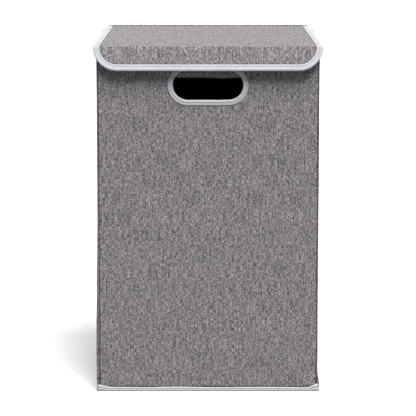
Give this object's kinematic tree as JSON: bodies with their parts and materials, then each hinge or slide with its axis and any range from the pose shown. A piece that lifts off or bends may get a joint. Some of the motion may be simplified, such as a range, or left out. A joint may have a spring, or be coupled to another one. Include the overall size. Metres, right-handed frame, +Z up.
{
  "type": "laundry hamper",
  "caption": "Tall rectangular fabric laundry hamper with a flip lid, hand-holes in front and back, a lift-up base board and sides that fold flat.",
  "frame": {"origin": "on the floor, in the middle of the box between its four walls", "axes": "+Z up, front wall facing -Y, +X to the right of someone facing the front"},
  "size_m": [0.369, 0.3174, 0.572],
  "materials": {
    "linen_cloth": "matte",
    "binding_tape": "matte",
    "lining": "matte",
    "floor_cloth": "matte",
    "board": "matte"
  },
  "bodies": {
    "front": {"front_board": "board", "front_cover": "linen_cloth", "front_lining": "lining", "front_rim_facing": "linen_cloth", "front_handle_binding": "binding_tape", "floor_fabric": "floor_cloth", "base_binding": "binding_tape", "left_front_corner_strip": "linen_cloth", "right_front_corner_strip": "linen_cloth"},
    "left_front": {"left_front_board": "board", "left_front_cover": "linen_cloth", "left_front_lining": "lining", "left_front_rim_facing": "linen_cloth", "left_crease_strip": "linen_cloth"},
    "left_rear": {"left_rear_board": "board", "left_rear_cover": "linen_cloth", "left_rear_lining": "lining", "left_rear_rim_facing": "linen_cloth"},
    "right_front": {"right_front_board": "board", "right_front_cover": "linen_cloth", "right_front_lining": "lining", "right_front_rim_facing": "linen_cloth", "right_crease_strip": "linen_cloth"},
    "right_rear": {"right_rear_board": "board", "right_rear_cover": "linen_cloth", "right_rear_lining": "lining", "right_rear_rim_facing": "linen_cloth"},
    "back": {"back_board": "board", "back_cover": "linen_cloth", "back_lining": "lining", "back_rim_facing": "linen_cloth", "back_handle_binding": "binding_tape", "lid_hinge_strip": "linen_cloth", "left_rear_corner_strip": "linen_cloth", "right_rear_corner_strip": "linen_cloth"},
    "base_insert": {"base_board": "board", "base_board_cover": "lining"},
    "lid": {"lid_board": "board", "lid_cover": "linen_cloth", "lid_lining": "lining", "lid_binding_left": "binding_tape", "lid_binding_right": "binding_tape"},
    "flap": {"flap_board": "board", "flap_cover": "linen_cloth", "flap_lining": "lining", "flap_binding": "binding_tape"}
  },
  "joints": [
    {"name": "wall_fold", "type": "hinge", "parent": "front", "child": "left_front", "pos_m": [-0.175, -0.141, 0], "axis": [0, 0, -1], "range_deg": [0, 88], "deforming": ["left_front_corner_strip", "floor_fabric", "base_binding"]},
    {"name": "left_crease", "type": "hinge", "parent": "left_front", "child": "left_rear", "pos_m": [-0.1804, 0, 0], "axis": [0, 0, 1], "range_deg": [0, 176], "deforming": ["left_crease_strip"]},
    {"name": "left_rear_corner", "type": "hinge", "parent": "left_rear", "child": "back", "pos_m": [-0.175, 0.141, 0], "axis": [0, 0, -1], "range_deg": [0, 88], "deforming": ["left_rear_corner_strip"]},
    {"name": "right_front_corner", "type": "hinge", "parent": "front", "child": "right_front", "pos_m": [0.175, -0.141, 0], "axis": [0, 0, 1], "range_deg": [0, 88], "deforming": ["right_front_corner_strip"]},
    {"name": "right_crease", "type": "hinge", "parent": "right_front", "child": "right_rear", "pos_m": [0.1804, 0, 0], "axis": [0, 0, -1], "range_deg": [0, 176], "deforming": ["right_crease_strip", "right_rear_corner_strip"]},
    {"name": "base_lift", "type": "hinge", "parent": "front", "child": "base_insert", "pos_m": [0, -0.1447, 0.0047], "axis": [1, 0, 0], "range_deg": [0, 90]},
    {"name": "lid_hinge", "type": "hinge", "parent": "back", "child": "lid", "pos_m": [0, 0.1505, 0.574], "axis": [-1, 0, 0], "range_deg": [0, 265], "deforming": ["lid_hinge_strip"]},
    {"name": "flap_hinge", "type": "hinge", "parent": "lid", "child": "flap", "pos_m": [0, -0.1562, 0.572], "axis": [-1, 0, 0], "range_deg": [0, 80]}
  ],
  "couplings": [
    {"joint": "left_crease", "follows": "wall_fold", "ratio": 2},
    {"joint": "left_rear_corner", "follows": "wall_fold", "ratio": 1},
    {"joint": "right_front_corner", "follows": "wall_fold", "ratio": 1},
    {"joint": "right_crease", "follows": "wall_fold", "ratio": 2}
  ]
}
